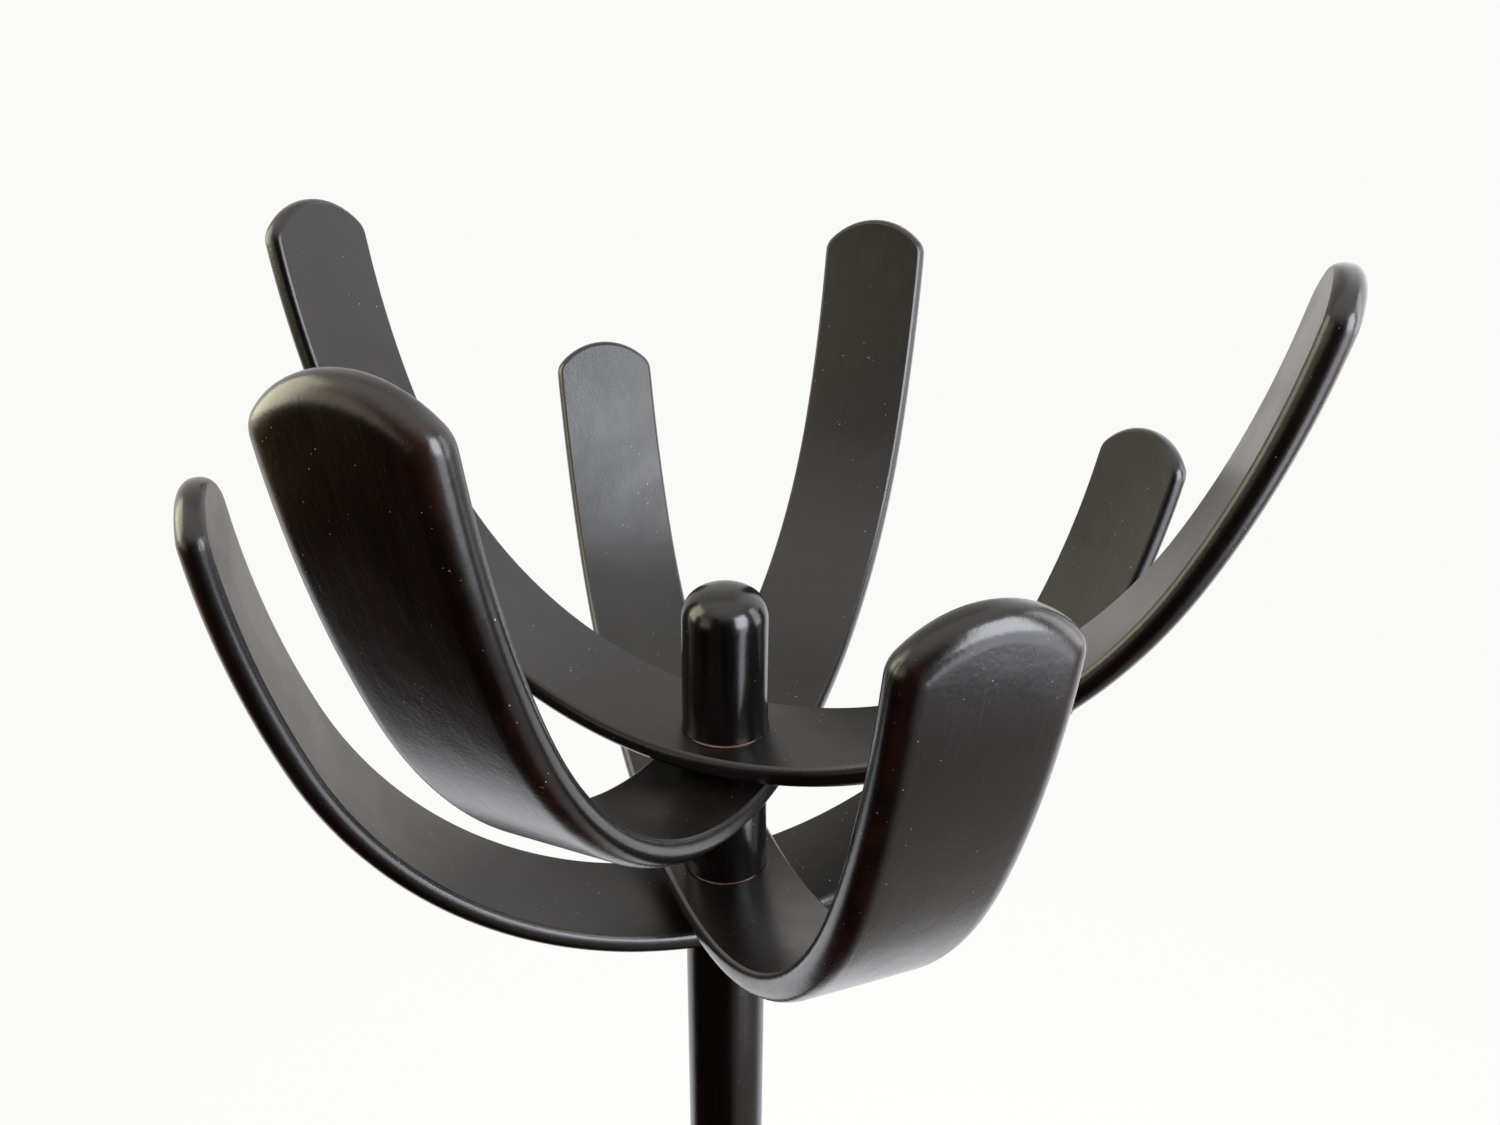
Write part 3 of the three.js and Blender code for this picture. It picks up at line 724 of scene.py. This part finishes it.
pole_low, pole_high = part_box("pole")[0][2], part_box("pole")[1][2]
pole_outline = (pocket(pole_low, 1)[::-1] + broken_edge(POLE_RADIUS, pole_low, 1)[::-1]
                + broken_edge(POLE_RADIUS, pole_high, -1) + pocket(pole_high, -1))
pole_mesh = turned_mesh("pole_shape", pole_outline)
pole_holes = dowel_holes(pole_low - HOLE_MARGIN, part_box("dowel_1")[1][2] + GAP)
place_piece("pole_wood", cut(pole_mesh, *pole_holes), TURNED_LACQUER, "stand", "pole")

# ------------------------------------------------------------------ The head's four bows
# Bent from the same strip as the foot's bows, each with its own small error of bend. A round flat is
# milled in each face for the spacers. They are threaded on the tie rod, and each can be swung on it.
BEND_RADIUS = 0.196
BEND = math.radians(66.5)
ARM = 0.111
CURL = math.radians(17)
TIP_RADIUS = 0.036
TIP_CORNER_RADIUS = 0.0100
SEAT_DEPTH = 0.0003
SEAT_RADIUS = 0.0205
ROD_HOLE_RADIUS = 0.0055
OUTER_BEND_RADIUS = BEND_RADIUS + STRIP_THICKNESS
OUTER_SEAT_DEPTH = OUTER_BEND_RADIUS - math.sqrt(OUTER_BEND_RADIUS ** 2 - SEAT_RADIUS ** 2)
SEAT_THICKNESS = STRIP_THICKNESS - SEAT_DEPTH - OUTER_SEAT_DEPTH
PAST_STRIP = 0.05
HEAD_BOWS = (
    # name, the piece under it, azimuth, each arm's error of bend, and how far the hole is off the middle
    ("bow_1", "upper_spacer", -24, (1.6, -1.5), -0.001),
    ("bow_2", "middle_spacer", 65.8, (0, 1), 0.002),
    ("bow_3", "lower_spacer", -71, (-4.8, 2.2), -0.002),
    ("bow_4", "pole", 18.4, (3.7, -2.6), -0.002),
)

for number, (name, below, azimuth, openings, offset) in enumerate(HEAD_BOWS):
    errors = [math.radians(opening) for opening in openings]
    bend = Bend(0, BEND_RADIUS, BEND, errors, (ARM - offset, ARM + offset), CURL)
    strip = strip_mesh(name + "_shape", bend, number, TIP_RADIUS, TIP_CORNER_RADIUS)
    strip.transform(Matrix.Translation((0, 0, SEAT_DEPTH)))
    upper_flat = cutting_rod(SEAT_RADIUS, 0, PAST_STRIP)
    lower_flat = cutting_rod(SEAT_RADIUS, -PAST_STRIP, -SEAT_THICKNESS)
    rod_hole = cutting_rod(ROD_HOLE_RADIUS, -PAST_STRIP, PAST_STRIP, HOLE_SIDES)
    strip = cut(strip, upper_flat, lower_flat, rod_hole)
    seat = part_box(below)[1][2] + GAP + SEAT_THICKNESS
    place_piece(name + "_wood", strip, BOW_LACQUER, "swivel_" + name, name, seat,
                math.radians(azimuth))

# ------------------------------------------------------------------ The spacers
# A turned disc between each pair of crossing bows, and a sleeve between the pairs. The lacquer is rubbed
# through to the red-brown wood round their lower ends, where they turn on the bows' seats.
WORN_TOP = EDGE_BREAK + 0.0008
for name in ("upper_spacer", "middle_spacer", "lower_spacer"):
    low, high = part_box(name)[0][2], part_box(name)[1][2]
    length = high - low
    outline = ([(ROD_HOLE_RADIUS, 0)] + broken_edge(POLE_RADIUS, 0, 1)[::-1] + [(POLE_RADIUS, WORN_TOP)]
               + broken_edge(POLE_RADIUS, length, -1) + [(ROD_HOLE_RADIUS, length)])
    mesh = turned_mesh(name + "_shape", outline, worn_below=EDGE_BREAK)
    place_piece(name + "_wood", mesh, TURNED_LACQUER, "stand", name, low)

# ------------------------------------------------------------------ The finial
# The turned knob that screws down on the tie rod and clamps the bows. Its foot is recessed for the
# washer, and its brass insert is let in above the recess.
CROWN_HEIGHT = 0.017
CROWN_POWER = 2.4
FOOT_FLARE = 0.0004
FLARE_HEIGHT = 0.005
WASHER_RECESS_RADIUS = 0.0153
WASHER_RECESS_DEPTH = 0.0025
finial_low, finial_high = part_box("finial")[0][2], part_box("finial")[1][2]
finial_height = finial_high - finial_low


def domed_crown(foot, height, steps=20):
    points = []
    for i in range(steps + 1):
        turn = math.pi / 2 * i / steps
        radius = POLE_RADIUS * math.cos(turn) ** (2 / CROWN_POWER) if i < steps else 0
        points.append((radius, foot + height * math.sin(turn) ** (2 / CROWN_POWER)))
    return points


recess = [(radius, height + WASHER_RECESS_DEPTH) for radius, height in pocket(0, 1)[::-1]]
finial_outline = (recess + [(WASHER_RECESS_RADIUS, WASHER_RECESS_DEPTH), (WASHER_RECESS_RADIUS, 0)]
                  + broken_edge(POLE_RADIUS + FOOT_FLARE, 0, 1)[::-1]
                  + [(POLE_RADIUS + FOOT_FLARE, WORN_TOP), (POLE_RADIUS + FOOT_FLARE / 2, FLARE_HEIGHT / 2),
                     (POLE_RADIUS, FLARE_HEIGHT)]
                  + domed_crown(finial_height - CROWN_HEIGHT, CROWN_HEIGHT))
finial_mesh = turned_mesh("finial_shape", finial_outline, worn_below=EDGE_BREAK)
place_piece("finial_wood", finial_mesh, TURNED_LACQUER, "finial", "finial", finial_low)

# ------------------------------------------------------------------ The clamp's steel and brass
# A zinc-plated M10 rod goes down through the bows into turned brass inserts in the finial and the pole.
# Its thread is rolled, and a pressed steel washer lies between the top bow and the finial.
THREAD_PITCH = 0.0015
THREAD_DEPTH = 0.0008
ROD_RADIUS = 0.005
THREAD_STEPS = 32
THREAD_PROFILE = (0.06, 0.44, 0.56, 0.94)  # root, crest, crest and root, in pitches
THREAD_SUNK = 0.0001
ROD_CHAMFER = 0.0005


def threaded_rod(name, low, high):
    """A rod's core with a three-sided ridge wound up it."""
    core = ROD_RADIUS - THREAD_DEPTH
    outline = [(0, low), (core - ROD_CHAMFER, low), (core, low + ROD_CHAMFER), (core, high - ROD_CHAMFER),
               (core - ROD_CHAMFER, high), (0, high)]
    mesh = turned_mesh(name, outline, THREAD_STEPS)
    work = bmesh.new()
    work.from_mesh(mesh)
    turns = int((high - low) / THREAD_PITCH) - 1
    sunk = core - THREAD_SUNK
    rows = []
    for i in range(turns * THREAD_STEPS + 1):
        angle = 2 * math.pi * i / THREAD_STEPS
        foot = low + THREAD_PITCH * i / THREAD_STEPS
        grown = min(1, i / THREAD_STEPS, (turns * THREAD_STEPS - i) / THREAD_STEPS)
        crest = sunk + (ROD_RADIUS - sunk) * grown
        row = []
        for radius, height in zip((sunk, crest, crest, sunk), THREAD_PROFILE):
            row.append(work.verts.new((radius * math.cos(angle), radius * math.sin(angle),
                                       foot + THREAD_PITCH * height)))
        rows.append(row)
    for first, second in zip(rows, rows[1:]):
        for k in range(4):
            j = (k + 1) % 4
            work.faces.new((first[k], second[k], second[j], first[j]))
    work.faces.new(rows[0])
    work.faces.new(rows[-1][::-1])
    work.to_mesh(mesh)
    work.free()
    tidy_mesh(mesh)
    return mesh


PLATING_CLOUD_SCALE = 190


def handled_metal_group():
    """The fine turning lines, clouded plating and finger marks of small metal hardware."""
    group, n, given, result = new_group(
        "handled_metal",
        [("Color", "NodeSocketColor", (0.6, 0.6, 0.62, 1)),
         ("Stained Color", "NodeSocketColor", (0.4, 0.4, 0.4, 1)),
         ("Line Scale", "NodeSocketFloat", 2600.0)],
        [("Color", "NodeSocketColor"), ("Dullness", "NodeSocketFloat"), ("Height", "NodeSocketFloat")])
    place = n.add("ShaderNodeTexCoord").outputs["Object"]
    axes = n.add("ShaderNodeSeparateXYZ", {0: place}).outputs
    up = n.math("MULTIPLY", axes["Z"], given["Line Scale"])
    rings = n.add("ShaderNodeCombineXYZ", {0: 0.0, 1: 0.0, 2: up}).outputs[0]
    lines = n.noise(rings, 1.0, 2)
    stain = n.fit(n.noise(place, PLATING_CLOUD_SCALE, 4, 0.62), 0.46, 0.7)
    n.give(result["Color"], n.mix(stain, given["Color"], given["Stained Color"]))
    n.give(result["Dullness"], stain)
    n.give(result["Height"], lines)
    return group


HANDLED_METAL = handled_metal_group()


STAIN_DULLS = 0.2


def metal(name, color, stained_color, roughness):
    material = bpy.data.materials.new(name)
    material.use_nodes = True
    n = Nodes(material.node_tree)
    shader = material.node_tree.nodes["Principled BSDF"]
    look = placed_group(n, HANDLED_METAL, Color=color, Stained_Color=stained_color)
    n.give(shader.inputs["Base Color"], look["Color"])
    n.give(shader.inputs["Roughness"], n.math("MULTIPLY_ADD", look["Dullness"], STAIN_DULLS, roughness))
    shader.inputs["Metallic"].default_value = 1.0
    n.give(shader.inputs["Normal"], n.bump(0.25, 0.0001, look["Height"]))
    return material


def finish_in_place(material, *nodes):
    """Gives nodes that keep their own shape a better material."""
    for node in nodes:
        for slot in bpy.data.objects[node].material_slots:
            slot.material = material


ZINC_PLATE = metal("zinc_plate", color=(0.6, 0.61, 0.64, 1), stained_color=(0.42, 0.4, 0.36, 1),
                   roughness=0.3)
TURNED_BRASS = metal("turned_brass", color=(0.74, 0.55, 0.26, 1), stained_color=(0.42, 0.27, 0.12, 1),
                     roughness=0.26)
rod_low, rod_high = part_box("tie_rod")[0][2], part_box("tie_rod")[1][2]
rod_mesh = threaded_rod("tie_rod_shape", rod_low, rod_high)
place_piece("tie_rod_thread", rod_mesh, ZINC_PLATE, "stand", "tie_rod")
finish_in_place(ZINC_PLATE, "clamp_washer", "base_bolt", "base_washer")
finish_in_place(TURNED_BRASS, "pole_top_insert", "pole_bottom_insert", "finial_insert")

# ------------------------------------------------------------------ The foot's fastening
# Beech dowels, left bare, keep the crossed bows square to each other under the pole. A turned boss
# is glued under the crossing and hides the bolt's head in its recess.
BOSS_CROWN_HEIGHT = 0.010
BOSS_RECESS_RADIUS = 0.0133
BOSS_RECESS_DEPTH = 0.0096


BARE_WOOD_ROUGHNESS = 0.65


def bare_wood(name, early, late):
    material = bpy.data.materials.new(name)
    material.use_nodes = True
    n = Nodes(material.node_tree)
    shader = material.node_tree.nodes["Principled BSDF"]
    place = n.add("ShaderNodeTexCoord").outputs["Object"]
    place = n.add("ShaderNodeMapping", {"Vector": place, "Rotation": (0, math.pi / 2, 0)}).outputs[0]
    grain = placed_group(n, STAINED_GRAIN, Place=place, Stain=early, Warm_Stain=late)
    n.give(shader.inputs["Base Color"], grain["Color"])
    shader.inputs["Roughness"].default_value = BARE_WOOD_ROUGHNESS
    n.give(shader.inputs["Normal"], n.bump(0.3, 0.0002, grain["Height"]))
    return material


BARE_BEECH = bare_wood("bare_beech", early=(0.6, 0.43, 0.28, 1), late=(0.46, 0.28, 0.16, 1))
finish_in_place(BARE_BEECH, "dowel_1", "dowel_2")

boss_low, boss_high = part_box("base_boss")[0][2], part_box("base_boss")[1][2]
boss_height = boss_high - boss_low
boss_outline = ([(0, BOSS_RECESS_DEPTH), (BOSS_RECESS_RADIUS, BOSS_RECESS_DEPTH), (BOSS_RECESS_RADIUS, 0)]
                + broken_edge(POLE_RADIUS, 0, 1)[::-1]
                + domed_crown(boss_height - BOSS_CROWN_HEIGHT, BOSS_CROWN_HEIGHT))
boss_mesh = turned_mesh("base_boss_shape", [(radius, -height) for radius, height in boss_outline])
place_piece("base_boss_wood", boss_mesh, TURNED_LACQUER, "stand", "base_boss", boss_high)

# ------------------------------------------------------------------ The pads
# Moulded black rubber, glued under the four cut ends of the foot. Grooves across the sole keep them from
# skating on a smooth floor.
PAD_GROOVES = 7
GROOVE_WIDTH = 0.0016
GROOVE_DEPTH = 0.0009
PAD_ROUND = 0.0004
RUBBER_TEXTURE_SCALE = 1400
BLOOM_SCALE = 90
RUBBER_BLACK = (0.012, 0.012, 0.012, 1)
RUBBER_BLOOM = (0.045, 0.043, 0.04, 1)
FLOOR_DUST = (0.5, 0.48, 0.44, 1)


def moulded_rubber():
    """Matt black with a dusty bloom in patches, specks of floor dust, and a fine moulded texture as a
    height.
    """
    material = bpy.data.materials.new("moulded_rubber")
    material.use_nodes = True
    n = Nodes(material.node_tree)
    shader = material.node_tree.nodes["Principled BSDF"]
    place = n.add("ShaderNodeTexCoord").outputs["Object"]
    texture = n.noise(place, RUBBER_TEXTURE_SCALE, 2)
    bloom = n.noise(place, BLOOM_SCALE, 4, 0.6)
    specks = placed_group(n, DUST, Place=place, Amount=2.0)["Mask"]
    color = n.mix(n.fit(bloom, 0.4, 0.75), RUBBER_BLACK, RUBBER_BLOOM)
    n.give(shader.inputs["Base Color"], n.mix(specks, color, FLOOR_DUST))
    n.give(shader.inputs["Roughness"], n.fit(bloom, 0.3, 0.8, 0.6, 0.85))
    n.give(shader.inputs["Normal"], n.bump(0.4, 0.0001, texture))
    return material


MOULDED_RUBBER = moulded_rubber()


def grooved_pad(name, length, depth, height):
    """A block along Y, with grooves through its underside along X, and its edges broken."""
    sole = [(-length / 2, 0)]
    for k in range(PAD_GROOVES):
        middle = length * ((k + 1) / (PAD_GROOVES + 1) - 0.5)
        sole += [(middle - GROOVE_WIDTH / 2, 0), (middle - GROOVE_WIDTH / 2, GROOVE_DEPTH),
                 (middle + GROOVE_WIDTH / 2, GROOVE_DEPTH), (middle + GROOVE_WIDTH / 2, 0)]
    side = sole + [(length / 2, 0), (length / 2, height), (-length / 2, height)]
    work = bmesh.new()
    ends = [[work.verts.new((x, y, z)) for y, z in side] for x in (-depth / 2, depth / 2)]
    work.faces.new(ends[0])
    work.faces.new(ends[1][::-1])
    for k in range(len(side)):
        j = (k + 1) % len(side)
        work.faces.new((ends[0][k], ends[0][j], ends[1][j], ends[1][k]))
    bmesh.ops.bevel(work, geom=work.edges[:], offset=PAD_ROUND, segments=2, affect="EDGES", profile=0.5)
    mesh = bpy.data.meshes.new(name)
    work.to_mesh(mesh)
    work.free()
    tidy_mesh(mesh)
    return mesh


for number in range(4):
    name = f"foot_pad_{number + 1}"
    low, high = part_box(name)
    across = number % 2 == 1
    depth, length = (high[1] - low[1], high[0] - low[0]) if across else (high[0] - low[0], high[1] - low[1])
    mesh = grooved_pad(name + "_shape", length, depth, high[2] - low[2])
    pad = place_piece(name + "_rubber", mesh, MOULDED_RUBBER, "stand", name, low[2],
                      math.pi / 2 if across else 0)
    pad.location.x = (low[0] + high[0]) / 2
    pad.location.y = (low[1] + high[1]) / 2
